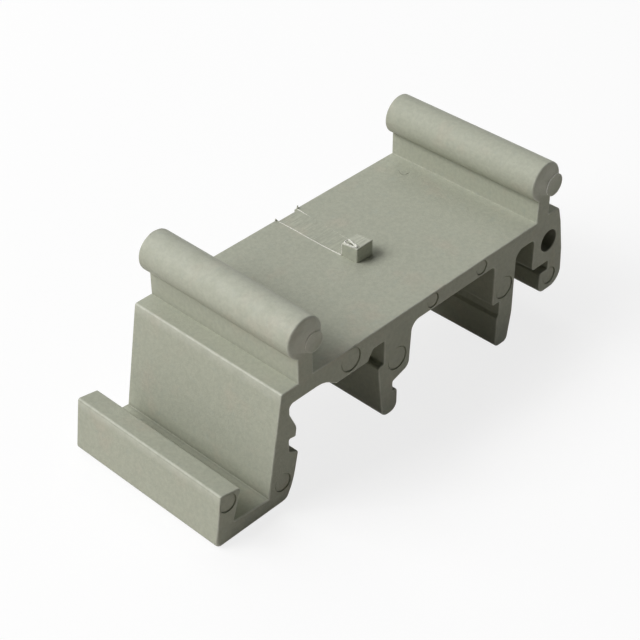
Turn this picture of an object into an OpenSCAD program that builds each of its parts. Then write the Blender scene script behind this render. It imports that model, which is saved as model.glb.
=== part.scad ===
// Clip-on rail foot: one moulded piece whose section stays the same all along the rail.
// X runs across the rail, Y along it, Z away from it. The origin lies midway between the wide
// rail's two seats, at half the foot's length, on the plane that the rail's flange bears on.

/* [Rails] */
// Width of the wide rail
rail_w = 35; // [32:0.5:42]
// Play of the wide rail between its two seats
rail_play = 0.6; // [0.2:0.1:1.5]
// Thickness of the rails' flanges
rail_t = 1; // [0.8:0.05:1.5]
// Play of the wide rail's flange in the fixed slot
slot_play = 0.05; // [0:0.05:0.4]
// Width of the narrow rail
narrow_w = 15; // [13:0.5:17]
// Play of the narrow rail between its two notches
narrow_play = 0.1; // [0:0.05:0.6]
// Shift of the narrow rail's middle towards the fixed end
narrow_shift = 2.9; // [2:0.1:3.8]
// Drop of the narrow rail's shoulders below the wide rail's seat
narrow_drop = 0.95; // [0.5:0.05:1.5]
// Height of the narrow rail's notches
notch_h = 1.8; // [1.4:0.05:2.2]

/* [Deck] */
// Length of the foot along the rail
body_w = 18.2; // [8:0.1:60]
// Height of the deck's top above the wide rail's seat
deck_h = 5.5; // [4.8:0.1:8]
// Thickness of the deck
deck_t = 1.8; // [1.2:0.1:2.6]
// Width of the thicker band under the deck
band_w = 4.05; // [2:0.05:6]
// Extra thickness of that band
band_t = 1.05; // [0.4:0.05:1.6]
// Run of the ramp from the band up to the deck
band_ramp = 1.45; // [0.8:0.05:2]

/* [Beads] */
// Diameter of the two beads that carry the device
bead_d = 4; // [3:0.1:5]
// Distance between the beads' middles
bead_pitch = 32; // [26:0.5:33]
// Height of the beads' middles above the deck
bead_rise = 4.2; // [3:0.1:7]
// Thickness of the stems under the beads
stem_t = 1.75; // [1:0.05:2.4]
// Shift of the bead pair towards the fixed end
deck_shift = 0.25; // [0:0.05:0.6]

/* [Fixed end] */
// Wall behind the fixed slot
end_t = 2.3; // [1.6:0.1:3.5]
// Set-back of the end wall's top
end_lean = 1.3; // [0.5:0.05:1.5]
// Set-back of the end wall where its crown is
crown_lean = 0.35; // [0.2:0.05:0.6]
// Height of the end wall's crown above the seat
crown_h = 2.2; // [1.5:0.1:3]
// Rise of the end's ledge above the deck
ledge_rise = 0.2; // [0:0.05:0.6]
// Width of the block above the slot
block_w = 2.55; // [1.8:0.05:3]
// Reach of the hook under the rail's flange
hook_reach = 1.2; // [0.6:0.05:1.8]
// Thickness of the hook
hook_t = 2.45; // [1.8:0.05:3.5]
// Diameter of the bore along the end
bore_d = 2.35; // [1.5:0.05:2.6]
// Height of the bore above the seat
bore_h = 2.45; // [2:0.05:3]
// Shift of the bore from the slot's end
bore_shift = 0.25; // [0:0.05:0.5]

/* [Third leg] */
// Thickness of the leg behind its notch
leg_t = 2.05; // [1.6:0.05:2.4]
// Drop of the leg's tip below the seat
leg_drop = 6.45; // [5:0.05:6.7]
// Taper at the leg's tip
leg_taper = 0.5; // [0.2:0.05:0.8]
// Height of the tapered stretch
leg_taper_h = 3.25; // [1.5:0.05:3.5]
// Width of the shoulder above the notch
leg_shoulder = 1.1; // [0.6:0.05:1.5]
// Depth of the catch below the notch
leg_catch = 0.25; // [0.1:0.05:0.5]

/* [Middle leg] */
// Thickness of the leg behind its notch
mid_t = 2; // [1.6:0.05:2.6]
// Thickness of the leg's neck behind the notch
mid_neck = 1.23; // [0.9:0.01:1.5]
// Drop of the leg's tip below the seat
mid_drop = 5.1; // [4.2:0.05:6.4]
// Taper of the leg's back towards the tip
mid_taper = 0.65; // [0.2:0.05:0.8]
// Height of the step in the leg's back above the seat
mid_step = 1.05; // [0.4:0.05:2]
// Width of the shoulder above the notch
mid_shoulder = 2.13; // [1.4:0.01:2.8]
// Fall of the shoulder towards the notch
mid_fall = 0.65; // [0.2:0.05:0.8]
// Flare of the leg's front at the deck
mid_flare = 0.3; // [0:0.02:0.8]
// Depth of the catch below the notch
mid_catch = 0.62; // [0.3:0.02:0.9]
// Width of the pocket between the neck and the band
pocket_w = 1.5; // [0.8:0.05:2]
// Run of the pocket's sloping side
pocket_ramp = 0.62; // [0.2:0.02:1]

/* [Latch] */
// Set-back of the latch wall's top outer edge from the rail seat
latch_top = 0.8; // [0.6:0.05:1.5]
// Lean of the latch wall's outer face, degrees
latch_lean = 9.8; // [4:0.2:14]
// Thickness of the wall at its top
latch_t = 0.93; // [0.7:0.01:1.2]
// Drop of the latch side's ledge below the deck
ledge_drop = 0.12; // [0:0.02:0.4]
// Swell of the wall above its notch
swell = 0.95; // [0.5:0.05:1.4]
// Height of the swell's crest above the seat
swell_h = 0.85; // [0.5:0.05:1.4]
// Height of the swell's start above the seat
swell_top = 2.65; // [2:0.05:3]
// Reach of the latch's nose under the rail's flange
nose_reach = 1.08; // [0.5:0.02:1.5]
// Height of the latch's notch at its back
nose_gap = 1.45; // [1.1:0.05:1.8]
// Fall of the nose's upper face
nose_fall = 0.5; // [0.2:0.05:0.8]
// Set-back of the wall's inner bend from the nose
bend_back = 0.54; // [0.2:0.02:0.8]
// Height of that bend above the sole
bend_h = 2.15; // [1.4:0.05:3]

/* [Release foot] */
// Drop of the foot's sole below the seat
foot_drop = 6.7; // [6:0.1:7.5]
// Thickness of the foot beside the wall
foot_t = 1.55; // [1:0.05:2]
// Rise of the foot's floor towards the lip
floor_rise = 0.34; // [0:0.02:0.6]
// Width of the tool gap at its floor
gap_w = 4.1; // [3:0.1:6]
// Height of the lip above the sole
lip_h = 5.6; // [4:0.1:8]
// Thickness of the lip at its top
lip_t = 2.32; // [1.5:0.02:3]
// Lean of the lip's inner face over its height
lip_lean = 0.98; // [0:0.02:1.4]
// Lean of the lip's outer face over its height
lip_draft = 0.78; // [0:0.02:1.2]
// Fall of the lip's top towards the gap
lip_fall = 0.42; // [0:0.02:0.8]

/* [Moulding marks] */
// Width of the gate stub on the deck
stub_x = 2.15; // [1:0.05:3]
// Length of the gate stub along the rail
stub_y = 1.95; // [1:0.05:3]
// Height of the gate stub
stub_h = 1.45; // [0.5:0.05:2.5]
// Shift of the gate stub towards the latch
stub_aside = 0.1; // [0:0.05:0.5]
// Shift of the gate stub towards the near end
stub_ahead = 0.2; // [0:0.05:0.5]
// Width of the trimmed place in the deck's far edge
trim_w = 2.4; // [1:0.1:4]
// Depth of that trimmed place
trim_d = 0.3; // [0.1:0.05:0.6]
// Diameter of the ejector pin marks
mark_d = 2.4; // [1:0.05:3]
// Diameter of the smaller marks: at the lip, the latch and the hook
small_mark_d = 1.85; // [1:0.05:2]
// Diameter of the marks in the deck
deck_mark_d = 1.5; // [0.8:0.05:1.6]
// Depth of the marks in the near end
mark_depth = 0.2; // [0.05:0.05:0.5]
// Height of the raised marks on the beads' near ends
pad_t = 0.06; // [0.02:0.02:0.3]

/* [Rounds] */
// Radius of the outer edges
edge_r = 0.25; // [0.05:0.05:0.4]
// Radius of the softer edges at the fixed end
soft_r = 0.45; // [0.1:0.05:0.7]
// Radius of the sharp inner corners
root_r = 0.15; // [0.05:0.05:0.3]
// Radius of the corners between the deck and the stems
stem_root_r = 0.1; // [0.02:0.02:0.3]
// Radius of the roots of the walls
wall_root_r = 0.5; // [0.2:0.05:0.8]
// Radius of the legs' wide roots
leg_root_r = 1; // [0.4:0.1:1.4]
// Radius of the third leg's tip and the toe
tip_r = 0.6; // [0.2:0.05:0.9]
// Radius of the rounder corners: the middle leg, the hook and the sole
round_tip_r = 0.85; // [0.3:0.05:1]
// Radius of the hook's heel
heel_r = 1.7; // [0.8:0.1:2]
// Radius of the gentle bends in the walls
bend_r = 3; // [1:0.5:6]
// Radius of the end wall's crown
crown_r = 30; // [10:1:40]

/* [Hidden] */
$fn = 72;
// Largest turn of one step along a round, degrees
arc_step = 12;
// Largest share of a wall that one round may take
wall_share = 0.48;
// Overlap that makes cuts run clear of a face
over = 1;
plastic = [0.63, 0.64, 0.57];

seat_x = (rail_w + rail_play) / 2;
slot_h = rail_t + slot_play;
deck_under = deck_h - deck_t;
bead_xs = [deck_shift - bead_pitch / 2, deck_shift + bead_pitch / 2];
bead_z = deck_h + bead_rise;
stem = stem_t / 2;
near_y = -body_w / 2;
ledge_z = deck_h - ledge_drop;

end_x = seat_x + end_t;
hook_z = -slot_h - hook_t;
bore_at = [seat_x - bore_shift, bore_h];

leg_notch = narrow_shift + (narrow_w + narrow_play) / 2;
mid_notch = narrow_shift - (narrow_w + narrow_play) / 2;
catch_z = -narrow_drop - notch_h;
neck_x = mid_notch - mid_neck;
band_x = neck_x - pocket_w - pocket_ramp;
band_z = deck_under - band_t;

latch_x = -seat_x - latch_top;
floor_z = -foot_drop + foot_t;
gap_x = latch_x - (ledge_z - floor_z) * tan(latch_lean);
lip_x = gap_x - gap_w + lip_lean;
toe_x = lip_x - lip_t - lip_draft;
lip_z = -foot_drop + lip_h;

// Corners of the section, clockwise from the latch side's stem: across, up, radius
deck_side = [
    [bead_xs[0] + stem, deck_h, stem_root_r],
    [bead_xs[1] - stem, deck_h, stem_root_r],
    [bead_xs[1] - stem, bead_z, 0],
    [bead_xs[1] + stem, bead_z, 0],
    [bead_xs[1] + stem, deck_h + ledge_rise, stem_root_r]
];
fixed_end = [
    [end_x - end_lean, deck_h + ledge_rise, soft_r],
    [end_x - crown_lean, crown_h, crown_r],
    [end_x, hook_z, heel_r],
    [seat_x - hook_reach, hook_z, round_tip_r],
    [seat_x - hook_reach, -slot_h, edge_r],
    [seat_x, -slot_h, root_r],
    [seat_x, 0, root_r],
    [seat_x - block_w, 0, soft_r],
    [seat_x - block_w, deck_under, wall_root_r]
];
third_leg = [
    [leg_notch + leg_t, deck_under, leg_root_r],
    [leg_notch + leg_t, leg_taper_h - leg_drop, bend_r],
    [leg_notch + leg_t - leg_taper, -leg_drop, tip_r],
    [leg_notch - leg_catch, -leg_drop, tip_r],
    [leg_notch - leg_catch, catch_z - root_r, root_r],
    [leg_notch, catch_z + root_r, root_r],
    [leg_notch, -narrow_drop, root_r],
    [leg_notch - leg_shoulder, -narrow_drop, edge_r],
    [leg_notch - leg_shoulder, deck_under, wall_root_r]
];
middle_leg = [
    [mid_notch + mid_shoulder + mid_flare, deck_under, leg_root_r],
    [mid_notch + mid_shoulder, -narrow_drop, round_tip_r],
    [mid_notch, -narrow_drop - mid_fall, root_r],
    [mid_notch, catch_z, root_r],
    [mid_notch + mid_catch, catch_z, edge_r],
    [mid_notch + mid_catch, -mid_drop, round_tip_r],
    [mid_notch - mid_t + mid_taper, -mid_drop, round_tip_r],
    [mid_notch - mid_t, mid_step, edge_r],
    [neck_x, mid_step, root_r],
    [neck_x, deck_under, root_r]
];
band = [
    [neck_x - pocket_w, deck_under, edge_r],
    [band_x, band_z, edge_r],
    [band_x - band_w, band_z, edge_r],
    [band_x - band_w - band_ramp, deck_under, bend_r]
];
latch = [
    [latch_x + latch_t, deck_under, wall_root_r],
    [latch_x + latch_t, swell_top, wall_root_r],
    [-seat_x + swell, swell_h, leg_root_r],
    [-seat_x + swell - root_r, -root_r, root_r],
    [-seat_x, 0, root_r],
    [-seat_x, -nose_gap, root_r],
    [-seat_x + nose_reach, -nose_gap - nose_fall, edge_r],
    [-seat_x + nose_reach - bend_back, bend_h - foot_drop, bend_r],
    [-seat_x - edge_r, -foot_drop, round_tip_r]
];
foot = [
    [toe_x, -foot_drop, tip_r],
    [lip_x - lip_t, lip_z, edge_r],
    [lip_x, lip_z - lip_fall, edge_r],
    [gap_x - gap_w, floor_z + floor_rise, wall_root_r],
    [gap_x, floor_z, wall_root_r],
    [latch_x, ledge_z, edge_r],
    [bead_xs[0] - stem, ledge_z, 0],
    [bead_xs[0] - stem, bead_z, 0],
    [bead_xs[0] + stem, bead_z, 0]
];
section = concat(deck_side, fixed_end, third_leg, middle_leg, band, latch, foot);

// Marks that the ejector pins leave in the near end: across, up, diameter
deck_mark_z = deck_h - stem_root_r - deck_mark_d / 2;
pin_marks = [
    [lip_x - (lip_t + lip_lean) / 2 + root_r, lip_z - 2 * small_mark_d / 3, small_mark_d],
    [gap_x + small_mark_d - stem_root_r, floor_z + foot_t / 2, small_mark_d],
    [band_x - band_w / 2 - root_r, deck_h - root_r - mark_d / 2, mark_d],
    [mid_notch + wall_root_r, mid_step - edge_r, mark_d],
    [deck_shift + edge_r, deck_mark_z, deck_mark_d],
    [leg_notch - leg_shoulder - leg_t, deck_mark_z, deck_mark_d],
    [leg_notch + wall_root_r, mid_step - tip_r, mark_d],
    [seat_x + edge_r + stem_root_r, -slot_h - small_mark_d / 2, small_mark_d]
];
// Middle of the raised mark on each bead from the bead's middle, in radii of the bead
pad_places = [[0.7, -0.56], [0.62, -0.48]];

function unit(v) = v / norm(v);

// Points along the round at corner c between its neighbours, no longer than its walls allow
function rounded(before, c, after, r) =
    let(u = unit(before - c), v = unit(after - c), half = acos(u * v) / 2)
    let(run = min(r / tan(half), wall_share * min(norm(before - c), norm(after - c))))
    let(fit_r = run * tan(half), middle = c + unit(u + v) * fit_r / sin(half))
    let(from = c + u * run - middle, to = c + v * run - middle)
    let(a = atan2(from[1], from[0]), raw = atan2(to[1], to[0]) - a)
    let(turn = raw > 180 ? raw - 360 : raw < -180 ? raw + 360 : raw)
    let(steps = max(1, ceil(abs(turn) / arc_step)))
    [for (k = [0 : steps]) middle + fit_r * [cos(a + turn * k / steps), sin(a + turn * k / steps)]];

function flat(p) = [p[0], p[1]];

function outline(corners) =
    let(n = len(corners))
    [for (i = [0 : n - 1])
        let(c = corners[i], before = corners[(i + n - 1) % n], after = corners[(i + 1) % n])
        each c[2] > 0 ? rounded(flat(before), flat(c), flat(after), c[2]) : [flat(c)]];

// Puts a drawing of the section upright and gives it its length along Y
module along(length) {
    rotate([90, 0, 0]) linear_extrude(height = length, center = true) children();
}

module bead(x) {
    translate([x, bead_z]) circle(d = bead_d);
}

// A short pin along Y whose middle lies on the near end
module near_pin(at, d, length) {
    translate([at[0], near_y, at[1]]) rotate([90, 0, 0]) cylinder(d = d, h = length, center = true);
}

module bore() {
    translate([bore_at[0], 0, bore_at[1]])
        rotate([90, 0, 0]) cylinder(d = bore_d, h = body_w + 2 * over, center = true);
}

module gate_stub() {
    translate([deck_shift - stub_aside, -stub_ahead, deck_h - over])
        translate([-stub_x / 2, -stub_y / 2]) cube([stub_x, stub_y, stub_h + over]);
}

module trimmed_edge() {
    translate([deck_shift - trim_w / 2, body_w / 2 - trim_d, deck_h - trim_d])
        cube([trim_w, trim_d + over, trim_d + over]);
}

module rail_foot() {
    color(plastic) difference() {
        union() {
            along(body_w) {
                polygon(outline(section));
                for (x = bead_xs) bead(x);
            }
            gate_stub();
            for (i = [0, 1])
                near_pin([bead_xs[i], bead_z] + pad_places[i] * bead_d / 2, mark_d, 2 * pad_t);
        }
        bore();
        trimmed_edge();
        for (mark = pin_marks) near_pin(mark, mark[2], 2 * mark_depth);
    }
}

rail_foot();
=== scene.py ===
import math
import random

import bmesh
import bpy
from mathutils import Matrix, Vector, noise


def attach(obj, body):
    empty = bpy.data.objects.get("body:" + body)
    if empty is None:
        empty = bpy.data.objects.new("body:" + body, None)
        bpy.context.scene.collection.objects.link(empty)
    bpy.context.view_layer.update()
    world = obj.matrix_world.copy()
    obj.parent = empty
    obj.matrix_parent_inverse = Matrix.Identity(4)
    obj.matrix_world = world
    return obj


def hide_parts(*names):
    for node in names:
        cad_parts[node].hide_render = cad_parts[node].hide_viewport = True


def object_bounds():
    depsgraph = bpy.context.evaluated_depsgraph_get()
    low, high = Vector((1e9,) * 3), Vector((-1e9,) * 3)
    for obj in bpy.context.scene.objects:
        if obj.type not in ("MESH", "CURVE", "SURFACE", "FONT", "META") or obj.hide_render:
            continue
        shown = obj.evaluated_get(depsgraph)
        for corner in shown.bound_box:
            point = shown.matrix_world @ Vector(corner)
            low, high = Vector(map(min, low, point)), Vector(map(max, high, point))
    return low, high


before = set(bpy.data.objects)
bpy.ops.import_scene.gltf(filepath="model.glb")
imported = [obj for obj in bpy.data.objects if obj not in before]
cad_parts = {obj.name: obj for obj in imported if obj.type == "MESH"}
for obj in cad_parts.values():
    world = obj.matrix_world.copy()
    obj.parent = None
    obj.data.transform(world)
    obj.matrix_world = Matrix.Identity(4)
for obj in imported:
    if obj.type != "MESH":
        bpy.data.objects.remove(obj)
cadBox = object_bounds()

scene = bpy.context.scene
mm = 0.001
white = (1, 1, 1, 1)
print("frame in place:", ", ".join(sorted(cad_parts)))


# Camera, where the photograph was taken from

viewFrom = {
    "place": (-89.83, -82.27, 92.25),  # mm
    "forward": (0.56883, 0.54894, -0.61245),
    "up": (0.44487, 0.42096, 0.79050),
    "lens": 91.96,
    "sensor": 36.0,
    "clip": (0.01, 10.0),  # m
}


def setCamera(look):
    forward = Vector(look["forward"]).normalized()
    right = forward.cross(Vector(look["up"])).normalized()
    up = right.cross(forward)
    lens = bpy.data.cameras.new("photoLens")
    lens.lens, lens.sensor_width = look["lens"], look["sensor"]
    lens.clip_start, lens.clip_end = look["clip"]
    camera = bpy.data.objects.new("photoCamera", lens)
    turn = Matrix((right, up, -forward)).transposed().to_4x4()
    camera.matrix_world = Matrix.Translation(Vector(look["place"]) * mm) @ turn
    scene.collection.objects.link(camera)
    scene.camera = camera


setCamera(viewFrom)
print("camera set")


# Helpers for node trees


def feed(tree, socket, value):
    # a link where the value is another node's socket, else the value itself
    if isinstance(value, bpy.types.NodeSocket):
        tree.links.new(value, socket)
    else:
        socket.default_value = value


def addNode(tree, kind, *inOrder, settings=None, **named):
    # a node with its settings, then its inputs in their order or by name
    node = tree.nodes.new("ShaderNode" + kind)
    for key, value in (settings or {}).items():
        setattr(node, key, value)
    for socket, value in zip(node.inputs, inOrder):
        feed(tree, socket, value)
    for key, value in named.items():
        feed(tree, node.inputs[key], value)
    return node


def calculate(tree, operation, first, second):
    return addNode(tree, "Math", first, second, settings={"operation": operation}).outputs[0]


def times(tree, first, *others):
    for other in others:
        first = calculate(tree, "MULTIPLY", first, other)
    return first


def ramp(tree, value, low, high, toLow=0.0, toHigh=1.0):
    settings = {"interpolation_type": "SMOOTHSTEP"}
    return addNode(tree, "MapRange", value, low, high, toLow, toHigh, settings=settings).outputs[0]


def opaque(colour):
    return (*colour, 1)


# Studio: floor, world and softboxes

studio = {
    "floorZ": -6.7,  # mm, the foot's sole
    "floorSize": 6.0,  # m
    "floorPale": (0.61, 0.58, 0.535),  # what the foot gets back from the floor
    "floorSeen": 0.80,  # glow of the floor for the camera
    "floorShade": (0.22, 0.22, 0.22),  # its part that keeps the foot's shadow
    "ambient": (0.0, 0.0, 0.0),
    "softboxFar": 1.0,  # m
    "softboxes": {  # direction, width and height in m, and power
        "leftWindow": {"to": (-0.663, 0.383, 0.643), "size": (0.50, 0.50), "watts": 6.0},
        "sideWindow": {"to": (-0.354, 0.612, 0.707), "size": (0.50, 0.50), "watts": 3.8},
        "backWindow": {"to": (0.350, 0.539, 0.766), "size": (0.60, 0.50), "watts": 2.0},
        "leftCard": {"to": (-0.968, 0.136, 0.208), "size": (0.50, 0.50), "watts": 0.9},
        "frontCard": {"to": (0.489, -0.847, 0.208), "size": (0.60, 0.50), "watts": 0.85},
    },
}


def emptyTree(owner):
    owner.use_nodes = True
    owner.node_tree.nodes.clear()
    return owner.node_tree


def pickSeen(tree, other, seen):
    # one shader for rays that the camera, a gloss or a clear body sends out, another for the rest
    path = addNode(tree, "LightPath")
    factor = path.outputs["Is Camera Ray"]
    for name in ("Is Glossy Ray", "Is Transmission Ray"):
        factor = calculate(tree, "MAXIMUM", factor, path.outputs[name])
    return addNode(tree, "MixShader", factor, other.outputs[0], seen.outputs[0]).outputs[0]


def makeFloor(look):
    # white with the foot's soft shadow where it is seen, and a pale card for the light it throws back
    half, z = look["floorSize"] / 2, look["floorZ"] * mm
    corners = [(-half, -half, z), (half, -half, z), (half, half, z), (-half, half, z)]
    mesh = bpy.data.meshes.new("paleFloor")
    mesh.from_pydata(corners, [], [(0, 1, 2, 3)])
    paint = bpy.data.materials.new("paleFloor")
    tree = emptyTree(paint)
    card = addNode(tree, "BsdfDiffuse", Color=opaque(look["floorPale"]))
    shade = addNode(tree, "BsdfDiffuse", Color=opaque(look["floorShade"]))
    glow = addNode(tree, "Emission", Color=white, Strength=look["floorSeen"])
    both = addNode(tree, "AddShader", shade.outputs[0], glow.outputs[0])
    addNode(tree, "OutputMaterial", Surface=pickSeen(tree, card, both))
    mesh.materials.append(paint)
    floor = bpy.data.objects.new("paleFloor", mesh)
    scene.collection.objects.link(floor)


def makeWorld(look):
    world = bpy.data.worlds.new("whiteRoom")
    scene.world = world
    tree = emptyTree(world)
    ambient = addNode(tree, "Background", Color=opaque(look["ambient"]))
    seen = addNode(tree, "Background", Color=white)
    addNode(tree, "OutputWorld", Surface=pickSeen(tree, ambient, seen))


def makeSoftbox(name, box, far):
    towards = Vector(box["to"]).normalized()
    lamp = bpy.data.lights.new(name, "AREA")
    lamp.shape = "RECTANGLE"
    lamp.size, lamp.size_y = box["size"]
    lamp.energy = box["watts"]
    stand = bpy.data.objects.new(name, lamp)
    stand.rotation_mode = "QUATERNION"
    stand.rotation_quaternion = (-towards).to_track_quat("-Z", "Y")
    stand.location = towards * far
    scene.collection.objects.link(stand)


makeFloor(studio)
makeWorld(studio)
for name, box in studio["softboxes"].items():
    makeSoftbox(name, box, studio["softboxFar"])
scene.view_settings.view_transform = "Standard"
print("studio lit by", len(studio["softboxes"]), "softboxes")


# Shared effects of the plastic, as node groups

midGrey = (0.4, 0.4, 0.4, 1)
colourIn = ("Color", "Color", midGrey)
colourOut = ("Color", "Color")
boxIn = [("Low", "Vector", (-1, -1, -1)), ("High", "Vector", (1, 1, 1))]


def newGroup(name, inputs, outputs):
    # the group, the place on the object, and the sockets that come in and go out
    group = bpy.data.node_groups.new(name, "ShaderNodeTree")
    for label, kind, value in inputs:
        socket = group.interface.new_socket(label, in_out="INPUT", socket_type="NodeSocket" + kind)
        socket.default_value = value
    for label, kind in outputs:
        group.interface.new_socket(label, in_out="OUTPUT", socket_type="NodeSocket" + kind)
    given, made = group.nodes.new("NodeGroupInput"), group.nodes.new("NodeGroupOutput")
    return group, addNode(group, "TexCoord").outputs["Object"], given.outputs, made.inputs


def placeNoise(tree, place, scale, detail, roughness):
    node = addNode(tree, "TexNoise", Vector=place, Scale=scale, Detail=detail, Roughness=roughness)
    return node.outputs[0]


mixSockets = {"first": 6, "second": 7, "mixed": 2}  # a mix node's numbers for colours


def mixColours(tree, factor, first, second):
    node = addNode(tree, "Mix", factor, settings={"data_type": "RGBA"})
    feed(tree, node.inputs[mixSockets["first"]], first)
    feed(tree, node.inputs[mixSockets["second"]], second)
    return node.outputs[mixSockets["mixed"]]


def liftColour(tree, colour, value, between, amount):
    # lighter and darker by an amount, as a noise goes through its range
    tone = ramp(tree, value, *between, -1.0, 1.0)
    lift = calculate(tree, "ADD", times(tree, tone, amount), 1.0)
    return addNode(tree, "VectorMath", colour, settings={"operation": "SCALE"}, Scale=lift).outputs[0]


def insideBox(tree, place, low, high):
    # 1 between two corners, 0 outside
    parts = [addNode(tree, "SeparateXYZ", Vector=corner).outputs for corner in (place, low, high)]
    steps = []
    for here, least, most in zip(*parts):
        steps.append(calculate(tree, "GREATER_THAN", here, least))
        steps.append(calculate(tree, "LESS_THAN", here, most))
    return times(tree, *steps)


grainShape = {
    "fine": {"detail": 3.0, "roughness": 0.6},
    "wide": {"detail": 2.0, "roughness": 0.5},
    "wideScale": 0.21,  # against the fine grain's
    "wideRise": 0.6,
    "gloss": (0.3, 0.7, -0.05, 0.05),  # range of the wide grain, and the shift it gives
}


def makeGrain(look):
    # fine spark-eroded grain of the mould, as a height and a shift in gloss
    group, place, given, made = newGroup(
        "mouldGrain", [("Scale", "Float", 7000.0)], [("Height", "Float"), ("Gloss", "Float")])
    fine = placeNoise(group, place, given["Scale"], **look["fine"])
    wide = placeNoise(group, place, times(group, given["Scale"], look["wideScale"]), **look["wide"])
    height = calculate(group, "ADD", fine, times(group, wide, look["wideRise"]))
    feed(group, made["Height"], height)
    feed(group, made["Gloss"], ramp(group, wide, *look["gloss"]))
    return group


driftShape = {
    "slow": {"scale": 260.0, "detail": 3.0, "roughness": 0.6},
    "small": {"scale": 1150.0, "detail": 3.0, "roughness": 0.65},
    "flecks": {"scale": 2600.0, "detail": 3.0, "roughness": 0.7},
    "warmFrom": (0.52, 0.74),
    "coolFrom": (0.54, 0.78),
    "fleckFrom": (0.3, 0.7),
}


def makeDrift(look):
    # slow drift of the pigment between a warmer and a cooler shade, with fine lighter and darker flecks
    group, place, given, made = newGroup(
        "pigmentDrift",
        [("Base", "Color", midGrey), ("Warm", "Color", midGrey), ("Cool", "Color", midGrey),
         ("Amount", "Float", 1.0), ("Fleck", "Float", 0.05)],
        [colourOut],
    )
    slow = placeNoise(group, place, **look["slow"])
    small = placeNoise(group, place, **look["small"])
    warm = times(group, ramp(group, slow, *look["warmFrom"]), given["Amount"])
    cool = times(group, ramp(group, small, *look["coolFrom"]), given["Amount"])
    colour = mixColours(group, warm, given["Base"], given["Warm"])
    colour = mixColours(group, cool, colour, given["Cool"])
    flecks = placeNoise(group, place, **look["flecks"])
    feed(group, made["Color"], liftColour(group, colour, flecks, look["fleckFrom"], given["Fleck"]))
    return group


speckShape = {
    "spacing": 330.0,
    "chosen": (0.80, 0.82),  # the rest of the cells hold no speck
    "radius": (0.020, 0.034),  # from full to nothing, in cells
}


def makeSpecks(look):
    # rare dark specks of burnt resin, each a fraction of a millimetre
    group, place, given, made = newGroup(
        "resinSpecks", [colourIn, ("Speck", "Color", (0.1, 0.1, 0.1, 1))], [colourOut])
    cells = addNode(group, "TexVoronoi", Vector=place, Scale=look["spacing"], Randomness=1.0)
    chosen = addNode(group, "SeparateColor", Color=cells.outputs["Color"]).outputs[0]
    dot = ramp(group, cells.outputs["Distance"], *look["radius"], 1.0, 0.0)
    mask = times(group, dot, ramp(group, chosen, *look["chosen"]))
    feed(group, made["Color"], mixColours(group, mask, given["Color"], given["Speck"]))
    return group


wornAndHighlightShape = {
    "patches": {"scale": 900.0, "detail": 2.0, "roughness": 0.5},
    "patchy": (0.25, 0.7, 0.45, 1.0),  # range of the noise, and of the paling
}


def makeWornAndHighlight(look):
    # edges and other places paler, partly worn by handling and partly a painted highlight, from the
    # mesh's own mark on its rounded edges
    group, place, given, made = newGroup(
        "edgeWornAndHighlight",
        [colourIn, ("Rubbed", "Color", (0.6, 0.6, 0.6, 1)), ("Amount", "Float", 0.5)],
        [colourOut, ("Mask", "Float")],
    )
    edge = addNode(group, "Attribute", settings={"attribute_name": "paleWornAndHighlight"}).outputs["Fac"]
    patchy = ramp(group, placeNoise(group, place, **look["patches"]), *look["patchy"])
    mask = times(group, edge, patchy, given["Amount"])
    feed(group, made["Color"], mixColours(group, mask, given["Color"], given["Rubbed"]))
    feed(group, made["Mask"], mask)
    return group


scoreShape = {
    "turn": -43,  # degrees
    "stretch": (0.06, 1.0, 1.0),
    "scores": {"scale": 9000.0, "detail": 2.0, "roughness": 0.5},
    "toneFrom": (0.25, 0.75),
}


def makeCutMarks(look):
    # fine slanting scores that the gate cutter left between two corners, as a change of tone
    group, place, given, made = newGroup(
        "cutMarks", [colourIn, *boxIn, ("Amount", "Float", 0.06)], [colourOut])
    turn = (0, 0, math.radians(look["turn"]))
    turned = addNode(group, "Mapping", Vector=place, Rotation=turn, Scale=look["stretch"])
    scores = placeNoise(group, turned.outputs[0], **look["scores"])
    amount = times(group, insideBox(group, place, given["Low"], given["High"]), given["Amount"])
    colour = liftColour(group, given["Color"], scores, look["toneFrom"], amount)
    feed(group, made["Color"], colour)
    return group


def makePaintedShade():
    # painted shade round a lengthwise line, darker near it, fading out with the distance from it and
    # kept between two corners
    group, place, given, made = newGroup(
        "paintedCreaseShade",
        [colourIn, ("ShadeColour", "Color", (0.2, 0.2, 0.2, 1)), ("Line", "Vector", (0, 0, 0)), *boxIn,
         ("Reach", "Float", 0.0004), ("Amount", "Float", 0.3)],
        [colourOut],
    )
    away = place
    for operation, other in (("SUBTRACT", given["Line"]), ("MULTIPLY", (1, 0, 1))):
        away = addNode(group, "VectorMath", away, other, settings={"operation": operation}).outputs[0]
    length = addNode(group, "VectorMath", away, settings={"operation": "LENGTH"}).outputs["Value"]
    near = ramp(group, length, 0.0, given["Reach"], 1.0, 0.0)
    inside = insideBox(group, place, given["Low"], given["High"])
    mask = times(group, near, inside, given["Amount"])
    feed(group, made["Color"], mixColours(group, mask, given["Color"], given["ShadeColour"]))
    return group


effects = {
    "grain": makeGrain(grainShape),
    "drift": makeDrift(driftShape),
    "specks": makeSpecks(speckShape),
    "wornAndHighlight": makeWornAndHighlight(wornAndHighlightShape),
    "cut": makeCutMarks(scoreShape),
    "paintedShade": makePaintedShade(),
}
print("effects:", ", ".join(sorted(effects)))


# Finishes

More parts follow.
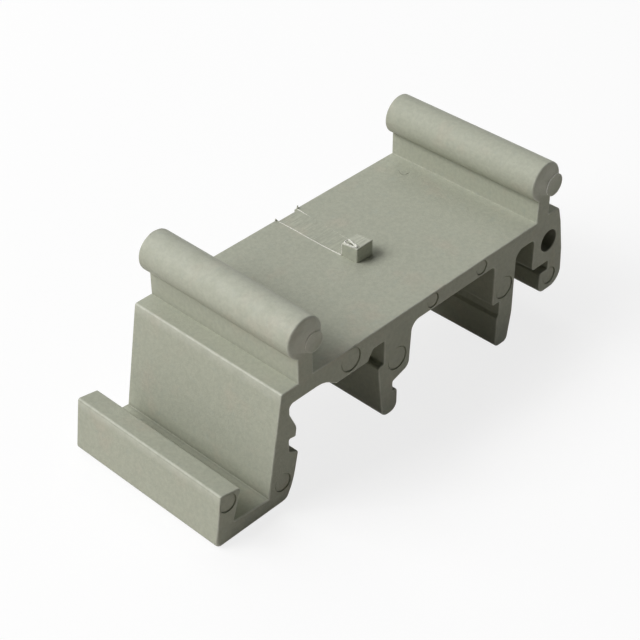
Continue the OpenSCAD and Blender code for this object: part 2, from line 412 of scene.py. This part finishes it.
plasticIor = 1.5
threadFinish = {  # what the thin threads of torn plastic have in common
    "drift": 0.8, "fleck": 0.04, "specular": 0.07, "grain": 5200.0, "bump": 0.22, "bumpRise": 0.00003,
}
finishes = {
    "pebblePlastic": {
        "base": (0.434, 0.447, 0.364), "warm": (0.459, 0.447, 0.364), "cool": (0.409, 0.432, 0.364),
        "drift": 0.85, "fleck": 0.06, "speck": (0.16, 0.15, 0.12), "roughness": 0.48, "specular": 0.07,
        # paler colour and amount for edge wear and painted highlight, and the gloss there
        "wornAndHighlightColour": (0.68, 0.685, 0.60), "wornAndHighlight": 0.6, "polish": 0.46,
        "grain": 7000.0, "bump": 0.5, "bumpRise": 0.00005,
        "cuts": {  # where the cutter scored it, in mm
            "gateStrip": {"low": (-1.0, 1.0, 5.4), "high": (1.5, 8.9, 5.6), "amount": 0.10},
            "stubTop": {"low": (-1.0, -1.3, 6.75), "high": (1.3, 0.9, 7.2), "amount": 0.14},
        },
        # colour of the painted shade below
        "paintedShadeColour": (0.20, 0.20, 0.16),
        "paintedShades": {  # where shade is painted, in mm: stem foot, tool gap, under the fixed bead, bore and under the deck
            "latchStemFoot": {
                "x": -16.625, "z": 5.38, "reach": 0.6, "amount": 0.2,
                "low": (-18, -9.0, 5.385), "high": (-16, 9.0, 7),
            },
            "toolGap": {
                "x": -20.419, "z": -5.15, "reach": 0.45, "amount": 0.4,
                "low": (-22, -9.0, -5.14), "high": (-19, 9.0, -4),
            },
            "underFixedBead": {
                "x": 15.375, "z": 7.9, "reach": 0.6, "amount": 0.4,
                "low": (14, -9.0, 6), "high": (16, 9.0, 9),
            },
            "bore": {
                "x": 17.55, "z": 2.45, "reach": 4.0, "amount": 0.65,
                "low": (16.3, -8.95, 1.2), "high": (18.8, 9.0, 3.7),
            },
            "underDeck": {
                "x": 3.0, "z": 0.0, "reach": 20.0, "amount": 0.28,
                "low": (-17, -8.95, -6.5), "high": (15.5, 9.0, 3.6),
            },
        },
    },
    "tornPlastic": {
        **threadFinish, "speck": (0.30, 0.29, 0.24), "roughness": 0.55,
        "base": (0.520, 0.525, 0.440), "warm": (0.540, 0.520, 0.440), "cool": (0.480, 0.500, 0.430),
    },
    # dark threads: painted shade in the stub's slit, and the dark scratch on the deck
    "darkThreadPlastic": {
        **threadFinish, "speck": (0.10, 0.10, 0.08), "roughness": 0.60,
        "base": (0.170, 0.170, 0.135), "warm": (0.190, 0.180, 0.140), "cool": (0.150, 0.155, 0.130),
    },
    "paleFlashAndHighlight": {  # the fixed side's pad flash, thin and stress-whitened, and nearly white as a painted highlight
        **threadFinish, "speck": (0.60, 0.59, 0.55), "roughness": 0.40, "specular": 0.5,
        "base": (0.900, 0.895, 0.850), "warm": (0.910, 0.890, 0.845), "cool": (0.880, 0.885, 0.845),
    },
    "whitenedPlastic": {  # stretched until it turned pale
        **threadFinish, "speck": (0.45, 0.44, 0.38), "roughness": 0.50,
        "base": (0.760, 0.755, 0.690), "warm": (0.775, 0.755, 0.690), "cool": (0.735, 0.740, 0.680),
    },
}


def placeEffect(tree, effect, **values):
    return addNode(tree, "Group", settings={"node_tree": effects[effect]}, **values).outputs


def boxOf(spot):
    low, high = Vector(spot["low"]) * mm, Vector(spot["high"]) * mm
    return {"Low": low, "High": high, "Amount": spot["amount"]}


def makePlastic(name, finish):
    paint = bpy.data.materials.new(name)
    paint.use_nodes = True
    tree = paint.node_tree
    shader = tree.nodes["Principled BSDF"].inputs
    shades = {key.title(): opaque(finish[key]) for key in ("base", "warm", "cool")}
    drift = placeEffect(tree, "drift", Amount=finish["drift"], Fleck=finish["fleck"], **shades)
    colour = drift["Color"]
    # paler where worn and where a highlight is painted
    if "wornAndHighlight" in finish:
        wornAndHighlightColour = opaque(finish["wornAndHighlightColour"])
        wornAndHighlight = placeEffect(tree, "wornAndHighlight", Color=colour, Rubbed=wornAndHighlightColour, Amount=finish["wornAndHighlight"])
        colour = wornAndHighlight["Color"]
        feed(tree, shader["Coat Weight"], wornAndHighlight["Mask"])  # the paler places, worn and painted highlight, are glossier too
        feed(tree, shader["Coat Roughness"], finish["polish"])
    colour = placeEffect(tree, "specks", Color=colour, Speck=opaque(finish["speck"]))["Color"]
    for spot in finish.get("cuts", {}).values():
        colour = placeEffect(tree, "cut", Color=colour, **boxOf(spot))["Color"]
    # painted shade in the creases, the bore and under the deck
    for spot in finish.get("paintedShades", {}).values():
        line, reach = (spot["x"] * mm, 0, spot["z"] * mm), spot["reach"] * mm
        shadePaint = {"ShadeColour": opaque(finish["paintedShadeColour"]), "Line": line, "Reach": reach, **boxOf(spot)}
        colour = placeEffect(tree, "paintedShade", Color=colour, **shadePaint)["Color"]
    feed(tree, shader["Base Color"], colour)
    grain = placeEffect(tree, "grain", Scale=finish["grain"])
    feed(tree, shader["Roughness"], calculate(tree, "ADD", grain["Gloss"], finish["roughness"]))
    bump = addNode(
        tree, "Bump", Strength=finish["bump"], Distance=finish["bumpRise"], Height=grain["Height"])
    feed(tree, shader["Normal"], bump.outputs[0])
    feed(tree, shader["IOR"], plasticIor)
    feed(tree, shader["Specular IOR Level"], finish["specular"])
    return paint


plastics = {name: makePlastic(name, finish) for name, finish in finishes.items()}
print("finishes:", ", ".join(sorted(plastics)))


# The foot itself: the CAD section swept along the rail, with round edges at its near end

footShell = {
    "sectionAt": 5.0,  # mm along the rail, where the section is clear of stub and trim
    "halfLength": 9.1,
    "weld": 0.002,  # points closer than this become one
    "flat": 0.5,  # degrees, faces that turn less become one
    "longest": 0.9,  # longest stretch of the outline between two points
    "roundSteps": 4,
    "endRound": 0.12,  # rounding of the section's edges at the near end
    "beadRound": 0.20,
    "beadGrow": (35, 80),  # degrees from a bead's underside, where its rounding grows to that
    "soleRound": 0.30,
    "gapRound": 0.16,
    "boreRound": 0.10,
    "farRound": 0.04,  # the far end lies on the mould's parting plane, so its edges are crisp
    "beads": ((-15.75, 9.7), (16.25, 9.7)),  # x, z
    "beadR": 2.0,
    "beadSlack": 0.03,
    "bore": (17.55, 2.45, 1.175),  # x, z, radius
    "boreSlack": 0.05,
    "latchX": -17,  # the latch lies to the left of this
    "soleZ": -5.6,  # its sole below this
    "gapFade": (-4.6, -3.8),  # and its tool gap's rounding ends between these
    # corners of the tool gap and the fixed stem, drawn tighter than in the CAD:
    # x, z and the share of the rounding that stays
    "tightCorners": ((-24.519, -4.81, 0.3), (-20.419, -5.15, 0.04), (15.375, 5.5, 0.5)),
    "tightReach": 0.65,
    "sharp": 32,  # degrees, edges that turn more are shaded sharp
}


def meshObject(name, work):
    bmesh.ops.recalc_face_normals(work, faces=work.faces)
    for face in work.faces:
        face.smooth = True
    mesh = bpy.data.meshes.new(name)
    work.to_mesh(mesh)
    work.free()
    thing = bpy.data.objects.new(name, mesh)
    scene.collection.objects.link(thing)
    return thing


def printMesh(label, work):
    print(label, len(work.faces), "faces,", sum(not e.is_manifold for e in work.edges), "open edges")


def blendBetween(value, low, high, atLow, atHigh):
    t = min(1.0, max(0.0, (value - low) / (high - low)))
    return atLow + (atHigh - atLow) * t * t * (3 - 2 * t)


def endRoundAt(x, z, look):
    # how round the section's edge is at this place of the near end
    boreX, boreZ, boreR = look["bore"]
    if math.hypot(x - boreX, z - boreZ) < boreR + look["boreSlack"]:
        return look["boreRound"]
    for beadX, beadZ in look["beads"]:
        if abs(math.hypot(x - beadX, z - beadZ) - look["beadR"]) < look["beadSlack"]:
            turn = math.degrees(math.atan2(abs(x - beadX), beadZ - z))
            return blendBetween(turn, *look["beadGrow"], look["endRound"], look["beadRound"])
    if x < look["latchX"] and z < look["soleZ"]:
        return look["soleRound"]
    if x < look["latchX"] and z < look["gapFade"][1]:
        return blendBetween(z, *look["gapFade"], look["gapRound"], look["endRound"])
    return look["endRound"]


def signedArea(row):
    return sum(a[0] * b[1] - b[0] * a[1] for a, b in zip(row, row[1:] + row[:1])) / 2


def tightenCorner(row, corner, reach):
    # shrinks the rounding towards its corner, so that it still meets both sides smoothly
    cx, cz, share = corner
    return [
        (cx + (x - cx) * share, cz + (z - cz) * share) if math.hypot(x - cx, z - cz) < reach else (x, z)
        for x, z in row
    ]


def splitLong(row, longest):
    out = []
    for a, b in zip(row, row[1:] + row[:1]):
        parts = max(1, math.ceil(math.dist(a, b) / longest))
        for k in range(parts):
            out.append((a[0] + (b[0] - a[0]) * k / parts, a[1] + (b[1] - a[1]) * k / parts))
    return out


def sectionLoops(look):
    # outline and bore of the CAD solid, as closed rows of (x, z) in mm with the plastic on their left
    work = bmesh.new()
    work.from_mesh(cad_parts["rail_foot"].data)
    bmesh.ops.remove_doubles(work, verts=work.verts, dist=look["weld"] * mm)
    bmesh.ops.dissolve_limit(
        work, angle_limit=math.radians(look["flat"]), verts=work.verts, edges=work.edges)
    cut = bmesh.ops.bisect_plane(
        work, geom=work.verts[:] + work.edges[:] + work.faces[:],
        plane_co=(0, look["sectionAt"] * mm, 0), plane_no=(0, 1, 0),
    )
    edges = {g for g in cut["geom_cut"] if isinstance(g, bmesh.types.BMEdge)}
    loops = []
    while edges:
        edge = edges.pop()
        row = [edge.verts[0], edge.verts[1]]
        while True:
            onward = [e for e in row[-1].link_edges if e in edges]
            if not onward:
                break
            edges.discard(onward[0])
            row.append(onward[0].other_vert(row[-1]))
        loops.append([(v.co.x / mm, v.co.z / mm) for v in row[:-1]])
    work.free()
    loops.sort(key=lambda row: -abs(signedArea(row)))
    for i, row in enumerate(loops):
        if (signedArea(row) > 0) != (i == 0):
            row.reverse()
        start = row.index(min(row))  # so that each run starts at the same point
        loops[i] = row[start:] + row[:start]
    for corner in look["tightCorners"]:
        loops[0] = tightenCorner(loops[0], corner, look["tightReach"])
    return [splitLong(row, look["longest"]) for row in loops]


def inwardMiters(row):
    # direction into the plastic at each point, as long as a unit inset needs
    out = []
    for before, here, after in zip(row[-1:] + row[:-1], row, row[1:] + row[:1]):
        into = Vector((here[0] - before[0], here[1] - before[1])).normalized()
        onward = Vector((after[0] - here[0], after[1] - here[1])).normalized()
        first, second = Vector((-into.y, into.x)), Vector((-onward.y, onward.x))
        out.append((first + second) / (1 + first.dot(second)))
    return out


def sweepLoop(work, row, look):
    # rings from the near end to the far end, with a quarter round at each, and the quads between them
    miters = inwardMiters(row)
    nearRounds = [endRoundAt(x, z, look) for x, z in row]
    farRounds = [look["farRound"]] * len(row)
    turns = [math.pi / 2 * k / look["roundSteps"] for k in range(look["roundSteps"] + 1)]
    stations = [(-1, t) for t in turns] + [(1, t) for t in reversed(turns)]
    rings = []
    for side, turn in stations:
        ring = []
        for (x, z), miter, r in zip(row, miters, nearRounds if side < 0 else farRounds):
            inset, back = r * (1 - math.sin(turn)), r * (1 - math.cos(turn))
            place = (x + miter.x * inset, side * (look["halfLength"] - back), z + miter.y * inset)
            ring.append(work.verts.new(Vector(place) * mm))
        rings.append(ring)
    for near, far in zip(rings, rings[1:]):
        for i in range(len(row)):
            j = (i + 1) % len(row)
            work.faces.new((near[i], far[i], far[j], near[j]))
    return rings[0], rings[-1]


def closeEnd(work, rings, outward):
    edges = [work.edges.get((ring[i], ring[i - 1])) for ring in rings for i in range(len(ring))]
    bmesh.ops.triangle_fill(work, edges=edges, use_beauty=True, normal=outward)


def makeFootShell(look):
    work = bmesh.new()
    ends = [sweepLoop(work, row, look) for row in sectionLoops(look)]
    for end, outward in ((0, (0, -1, 0)), (1, (0, 1, 0))):
        closeEnd(work, [pair[end] for pair in ends], outward)
    printMesh("foot swept:", work)
    return meshObject("footShell", work)


# What the mould adds and takes: pin marks, raised pads, gate stub and the trimmed edge

mouldMarks = {
    "nearY": -footShell["halfLength"],
    "around": 48,  # points round a turned body
    "pins": (  # x, z, radius
        (-25.04, -2.33, 0.925), (-18.67, -4.375, 0.925), (-10.175, 4.15, 1.2), (-4.15, 0.8, 1.2),
        (0.5, 4.65, 0.75), (7.3, 4.65, 0.75), (10.95, 0.45, 1.2), (18.15, -1.975, 0.925),
    ),
    "pinDepth": 0.075,
    "pinGroove": (0.10, 0.20),  # width and depth of the fine gap round each pin's disc
    "pinFlare": 0.02,
    "pinOver": 1.0,  # how far the cutting body stands out of the end
    "pads": ((-14.72, 8.74, 1.02), (17.57, 8.78, 1.15)),  # x, z, radius
    "padRise": 0.04,
    "padRound": 0.02,
    "padMiddle": 0.3,  # share of that rounding at its middle step
    "padRim": 0.15,
    "trim": ((-0.95, 8.8, 5.2), (1.45, 10.0, 6.5)),
    "stubLow": (-0.92, -1.18), "stubHigh": (1.22, 0.76),  # x, y
    "stubFoot": 4.9, "stubTop": 7.07,  # z, its foot lies inside the deck
    "stubSlope": 0.125,  # the torn top falls towards the trimmed edge
    "stubRound": 0.12,
    "stubLeastRound": 0.02,
    "stubCornerPoints": 5,
    "stubRimTurns": (0.4, 0.8, 1.2, math.pi / 2),
    "stubInsets": (0.24, 0.38, 0.54, 0.70, 0.84),  # rings on the torn top
    "stubTorn": 0.035,  # how uneven it is
    "stubTornFrom": 0.2,  # inset from which it is so in full
    "stubTornScale": 3.1,
    "stubTornLayer": 4.7,
}


def makeLathe(name, place, profile, around):
    # a closed turned body along Y from rows of (y, radius)
    work = bmesh.new()
    turns = [2 * math.pi * k / around for k in range(around)]
    rings = []
    for y, r in profile:
        ring = [(place[0] + r * math.cos(t), y, place[1] + r * math.sin(t)) for t in turns]
        rings.append([work.verts.new(Vector(point) * mm) for point in ring])
    for first, second in zip(rings, rings[1:]):
        for i in range(around):
            j = (i + 1) % around
            work.faces.new((first[i], second[i], second[j], first[j]))
    work.faces.new(rings[0])
    work.faces.new(list(reversed(rings[-1])))
    return meshObject(name, work)


def stubOutline(look, inset):
    # points round the stub's rectangle with its rounded corners, set in from its sides
    (lowX, lowY), (highX, highY) = look["stubLow"], look["stubHigh"]
    corners = ((highX, highY, -1, -1, 0), (lowX, highY, 1, -1, 90),
               (lowX, lowY, 1, 1, 180), (highX, lowY, -1, 1, 270))  # place, way in and start angle
    keep = max(look["stubLeastRound"], look["stubRound"] - inset)
    count = look["stubCornerPoints"]
    out = []
    for x, y, dx, dy, start in corners:
        for k in range(count):
            turn = math.radians(start + 90 * k / (count - 1))
            out.append((x + dx * (inset + keep) + keep * math.cos(turn),
                        y + dy * (inset + keep) + keep * math.sin(turn)))
    return out


def makeStub(look):
    # the gate's stump: straight sides, a soft rim and a torn top that falls towards the trimmed edge
    work = bmesh.new()
    r, foot, top = look["stubRound"], look["stubFoot"], look["stubTop"]
    scale, layer = look["stubTornScale"], look["stubTornLayer"]
    rows = [(foot, 0.0), (top - r, 0.0)]
    rows += [(top - r + r * math.sin(t), r * (1 - math.cos(t))) for t in look["stubRimTurns"]]
    rows += [(top, inset) for inset in look["stubInsets"]]
    rings = []
    for z, inset in rows:
        torn = look["stubTorn"] * min(1.0, inset / look["stubTornFrom"])
        ring = []
        for x, y in stubOutline(look, inset):
            lift = 0.0
            if z > foot:
                lift = noise.noise(Vector((x * scale, y * scale, layer))) * torn
                lift -= look["stubSlope"] * (y - look["stubLow"][1])
            ring.append(work.verts.new(Vector((x, y, z + lift)) * mm))
        rings.append(ring)
    for first, second in zip(rings, rings[1:]):
        for i in range(len(first)):
            work.faces.new((first[i - 1], first[i], second[i], second[i - 1]))
    work.faces.new(list(reversed(rings[0])))
    work.faces.new(rings[-1])
    return meshObject("stub", work)


def makeBlock(name, low, high):
    work = bmesh.new()
    bmesh.ops.create_cube(work, size=1)
    for v in work.verts:
        v.co = Vector([(a + b) / 2 + c * (b - a) for a, b, c in zip(low, high, v.co)]) * mm
    return meshObject(name, work)


def makeMarks(look):
    # the bodies to join and to cut, in their order
    near, around = look["nearY"], look["around"]
    soft, middle, rim = look["padRound"], look["padRound"] * look["padMiddle"], look["padRim"]
    out, back = near - look["padRise"], near + look["padRise"]
    tools = []
    for x, z, r in look["pads"]:
        profile = (
            (out, r - rim), (out, r - soft), (out + middle, r - middle), (out + soft, r), (back, r),
        )
        tools.append(("UNION", makeLathe("pad", (x, z), profile, around)))
    tools.append(("UNION", makeStub(look)))
    tools.append(("DIFFERENCE", makeBlock("trim", *look["trim"])))
    gap, deep = look["pinGroove"][0], near + look["pinGroove"][1]
    floor, flare = near + look["pinDepth"], look["pinFlare"]
    for x, z, r in look["pins"]:
        profile = (
            (near - look["pinOver"], r + flare), (near, r + flare), (near + flare, r),
            (deep, r), (deep, r - gap), (floor, r - gap),
        )
        tools.append(("DIFFERENCE", makeLathe("pin", (x, z), profile, around)))
    return tools


def applyTools(shell, tools):
    # joins or cuts each tool in turn, then keeps only the finished mesh
    for operation, tool in tools:
        step = shell.modifiers.new(tool.name, "BOOLEAN")
        step.operation, step.object, step.solver = operation, tool, "MANIFOLD"
    bpy.context.view_layer.update()
    made = bpy.data.meshes.new_from_object(shell.evaluated_get(bpy.context.evaluated_depsgraph_get()))
    shell.modifiers.clear()
    shell.data, old = made, shell.data
    bpy.data.meshes.remove(old)
    for operation, tool in tools:
        mesh = tool.data
        bpy.data.objects.remove(tool)
        bpy.data.meshes.remove(mesh)
    made.name = shell.name


# wear and painted highlight and light on the near end, edges, beads and stub
wornAndHighlightPlaces = {
    "tiny": 0.004,  # mm, anything less counts as on the plane
    "slack": 1.1,  # times a rim's rounding, within which a point lies on that rim
    "roundShare": 0.9,  # share of the near end's rounding that is paler, as wear and painted highlight
    # x, z and how pale: painted highlight along the top edges of wall and lip
    "longEdges": ((-18.6, 5.38, 0.8), (-25.86, -1.1, 0.6)),
    "longReach": (0.10, 0.21),  # mm from the edge where the rub starts to fade and ends
    # where painted light starts that fades out over a face: wall, lip's front and deck by the fixed
    # stem
    "fadeEdges": ((-18.636, 5.173, 0.6), (-25.895, -1.358, 0.6), (15.325, 5.5, 0.3)),
    "fadeReach": (0.01, 0.05),
    "beadEndPaintedLight": 0.6,  # the beads' near ends are painted a little paler, as light that falls there
    "beadCrestWornAndHighlight": (0.27, 0.08),  # and their crests, worn where a carrier slides and lighter as a painted highlight
    "beadCrest": (-1.0, 1.0),  # heights over a bead's middle where that grows
    "beadSlack": 0.05,
    "beadUnder": 0.85,  # share of a bead's radius below its middle that takes part
    # the stub's top is paler, torn plastic and painted light
    "stubPale": 0.25,
    "stubDeep": 0.5,  # what lies less below the stub's top belongs to it
    "stubRim": 0.8,  # share of the stub's rounding that is paler, as wear and painted highlight
}


def markWornAndHighlight(mesh, shape, marks, paling):
    # paleness of wear and painted highlight: 1 on the near end's round edges and the rims of pads and
    # stub, less on the other paled places, else 0
    near, tiny, slack = marks["nearY"], paling["tiny"], paling["slack"]
    (lowX, lowY), (highX, highY) = marks["stubLow"], marks["stubHigh"]
    pales = [(edge, paling["longReach"]) for edge in paling["longEdges"]]
    pales += [(edge, paling["fadeReach"]) for edge in paling["fadeEdges"]]
    values = []
    for v in mesh.vertices:
        x, y, z = v.co / mm
        fromPin = min(math.hypot(x - px, z - pz) - r for px, pz, r in marks["pins"])
        fromPad = min(abs(math.hypot(x - px, z - pz) - r) for px, pz, r in marks["pads"])
        onRound = tiny < y - near < paling["roundShare"] * endRoundAt(x, z, shape)
        onRound = onRound and fromPin >= slack * marks["pinFlare"]
        onPad = y < near - tiny and fromPad < slack * marks["padRound"]
        aside = min(x - lowX, highX - x, y - lowY, highY - y)
        onTop = z > marks["stubTop"] - paling["stubDeep"] and aside > tiny
        onStub = onTop and aside < paling["stubRim"] * marks["stubRound"]
        onEdge = max(blendBetween(math.hypot(x - ex, z - ez), *reach, pale, 0.0)
                     for (ex, ez, pale), reach in pales)
        for (bx, bz), crest in zip(shape["beads"], paling["beadCrestWornAndHighlight"]):
            inBead = math.hypot(x - bx, z - bz) < shape["beadR"] + paling["beadSlack"]
            if inBead and z > bz - paling["beadUnder"] * shape["beadR"]:
                onEdge = blendBetween(z - bz, *paling["beadCrest"], 0.0, crest)
                if y < near + tiny:
                    onEdge = paling["beadEndPaintedLight"]
        values.append(1.0 if onRound or onPad or onStub else max(onEdge, paling["stubPale"] * onTop))
    mesh.attributes.new("paleWornAndHighlight", "FLOAT", "POINT").data.foreach_set("value", values)
    print("round edges marked:", int(sum(values)), "points")


shell = makeFootShell(footShell)
applyTools(shell, makeMarks(mouldMarks))
check = bmesh.new()
check.from_mesh(shell.data)
printMesh("foot marked:", check)
check.free()
markWornAndHighlight(shell.data, footShell, mouldMarks, wornAndHighlightPlaces)
shell.modifiers.new("flat faces", "WEIGHTED_NORMAL").keep_sharp = True
shell.data.set_sharp_from_angle(angle=math.radians(footShell["sharp"]))
shell.data.materials.clear()
shell.data.materials.append(plastics["pebblePlastic"])
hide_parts("rail_foot")
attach(shell, "root")
print("foot rounded")


# Flash and burrs that the mould and the cutter left, and the slit's painted shade, each a thin uneven
# thread of plastic on the foot

flash = {
    "seed": 11,
    "sides": 8,
    "step": 0.07,  # mm between rings
    "uneven": 0.35,  # share by which a thread's thickness wavers
    "wander": 0.012,
    "upright": (0.13, 0.21, 0.97),  # rings are turned by this, and no thread runs along it
    "beside": 0.03,  # mm between a pad's rim and the middle of its flash
    "finish": "tornPlastic",  # of the threads that name none
    "threads": {  # points or part of a pad's rim, and the radius at each point
        "gateLineLatch": {  # along the trimmed strip and up the stub's back corner
            "path": ((-1.02, 8.66, 5.5), (-1, 6.4, 5.5), (-1.03, 4.5, 5.5), (-1.01, 2.3, 5.5),
                     (-0.95, 0.95, 5.5), (-0.9, 0.76, 5.56), (-0.89, 0.73, 5.8), (-0.89, 0.72, 6.4),
                     (-0.86, 0.7, 6.76)),
            "r": (0.035, 0.05, 0.045, 0.055, 0.07, 0.08, 0.055, 0.055, 0.06),
            "finish": "whitenedPlastic",
        },
        "gateLineFixed": {
            "path": ((1.34, 1.3, 5.49), (1.38, 2.5, 5.49), (1.44, 3.6, 5.49), (1.54, 6.3, 5.49),
                     (1.6, 7.3, 5.49), (1.64, 8.2, 5.5), (1.66, 8.9, 5.5)),
            "r": (0.016, 0.016, 0.011, 0.009, 0.014, 0.045, 0.05),
            "finish": "whitenedPlastic",
        },
        "stubBurr": {  # ring of torn plastic round a slit in the stub's top
            "path": ((-0.40, 0.68, 6.86), (-0.68, 0.58, 6.88), (-0.80, 0.25, 6.92),
                     (-0.84, -0.10, 6.96), (-0.87, -0.50, 7.01), (-0.80, -0.84, 7.06),
                     (-0.62, -0.86, 7.06), (-0.46, -0.42, 7.00), (-0.30, 0.05, 6.95),
                     (-0.16, 0.40, 6.90), (-0.18, 0.62, 6.87)),
            "r": (0.060, 0.065, 0.070, 0.075, 0.085, 0.11, 0.11, 0.095, 0.085, 0.080, 0.065),
            "finish": "whitenedPlastic",
            "closed": True,
        },
        # a dark thread painted into the slit as its shade
        "stubSlit": {
            "path": ((-0.53, 0.36, 6.89), (-0.56, -0.02, 6.94), (-0.61, -0.42, 6.99)),
            "r": (0.03, 0.055, 0.03),
            "finish": "darkThreadPlastic",
        },
        "nibLatch": {  # a nib at each end of the trimmed edge
            "path": ((-1.1, 9.03, 5.42), (-1.11, 9.05, 5.58), (-1.14, 9.06, 5.72)),
            "r": (0.12, 0.10, 0.03),
        },
        "nibFixed": {
            "path": ((1.78, 9.03, 5.42), (1.8, 9.05, 5.6), (1.86, 9.06, 5.78)),
            "r": (0.13, 0.11, 0.03),
        },
        "beadRimLatch": {  # over the crest of the bead's far end
            "path": ((-16.75, 9.03, 11.35), (-16.35, 9.05, 11.58), (-15.75, 9.06, 11.67),
                     (-15.1, 9.05, 11.55), (-14.6, 9.03, 11.32)),
            "r": (0.02, 0.05, 0.06, 0.055, 0.02),
        },
        "padRimLatch": {  # round the upper left of each pad, in degrees
            "pad": 0, "from": 85, "to": 200,
            "r": (0.020, 0.050, 0.060, 0.060, 0.055, 0.045, 0.015),
            "finish": "whitenedPlastic",
        },
        "padRimFixed": {
            "pad": 1, "from": 70, "to": 215,
            "r": (0.030, 0.060, 0.075, 0.075, 0.070, 0.055, 0.020),
            "finish": "paleFlashAndHighlight",
        },
        "deckScratch": {
            "path": ((13.47, 6.6, 5.49), (13.1, 5.99, 5.49), (13.11, 5.53, 5.49), (13.61, 5.45, 5.49),
                     (14.0, 5.5, 5.48)),
            "r": (0.010, 0.028, 0.036, 0.028, 0.010),
            "finish": "darkThreadPlastic",
        },
    },
}


def padArc(thread, beside):
    # points on the bead's end along part of a pad's rim, one for each radius
    x, z, r = mouldMarks["pads"][thread["pad"]]
    r, y = r + beside, mouldMarks["nearY"]
    start, stop, last = thread["from"], thread["to"], len(thread["r"]) - 1
    turns = [math.radians(start + (stop - start) * k / last) for k in range(last + 1)]
    return [(x + r * math.cos(t), y, z + r * math.sin(t)) for t in turns]


def smoothPath(points, closed, step):
    # even points along a soft curve through the given ones, with the share of the way at each
    count = len(points)
    spans = count if closed else count - 1
    out = []
    for i in range(spans):
        numbers = range(i - 1, i + 3)
        if not closed:
            numbers = [min(max(k, 0), count - 1) for k in numbers]
        a, b, c, d = (points[k % count] for k in numbers)
        parts = max(1, math.ceil(math.dist(b, c) / step))
        for k in range(parts):
            t = k / parts
            place = [0.5 * (2 * q + (r - p) * t + (2 * p - 5 * q + 4 * r - s) * t * t
                            + (3 * q - p - 3 * r + s) * t ** 3) for p, q, r, s in zip(a, b, c, d)]
            out.append((Vector(place), i + t))
    if not closed:
        out.append((Vector(points[-1]), float(spans)))
    return out


def insideCad(point):
    return [min(max(v, low), high) for v, low, high in zip(point, *cadBox)]


def makeThread(name, thread, look, draw):
    closed = thread.get("closed", False)
    points = thread["path"] if "path" in thread else padArc(thread, look["beside"])
    route = smoothPath(points, closed, look["step"])
    radii, count = thread["r"], len(thread["r"])
    turns = [2 * math.pi * n / look["sides"] for n in range(look["sides"])]
    work = bmesh.new()
    rings = []
    for i, (place, along) in enumerate(route):
        before = route[i - 1][0] if i or closed else place
        after = route[(i + 1) % len(route)][0] if i + 1 < len(route) or closed else place
        heading = (after - before).normalized()
        side = heading.cross(Vector(look["upright"])).normalized()
        rise = side.cross(heading)
        k = int(along) % count
        onward = (k + 1) % count if closed else min(k + 1, count - 1)
        r = radii[k] + (radii[onward] - radii[k]) * (along - int(along))
        r *= 1 + look["uneven"] * draw.uniform(-1, 1)
        place = place + side * draw.uniform(-1, 1) * look["wander"]
        ring = [(place + side * r * math.cos(t) + rise * r * math.sin(t)) * mm for t in turns]
        rings.append([work.verts.new(insideCad(point)) for point in ring])
    pairs = list(zip(rings, rings[1:])) + ([(rings[-1], rings[0])] if closed else [])
    for first, second in pairs:
        for n in range(look["sides"]):
            work.faces.new((first[n - 1], second[n - 1], second[n], first[n]))
    if not closed:
        work.faces.new(rings[0])
        work.faces.new(list(reversed(rings[-1])))
    piece = meshObject(name, work)
    piece.data.materials.append(plastics[thread.get("finish", look["finish"])])
    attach(piece, "root")


draw = random.Random(flash["seed"])
for name, thread in flash["threads"].items():
    makeThread(name, thread, flash, draw)
print("flash threads:", len(flash["threads"]))
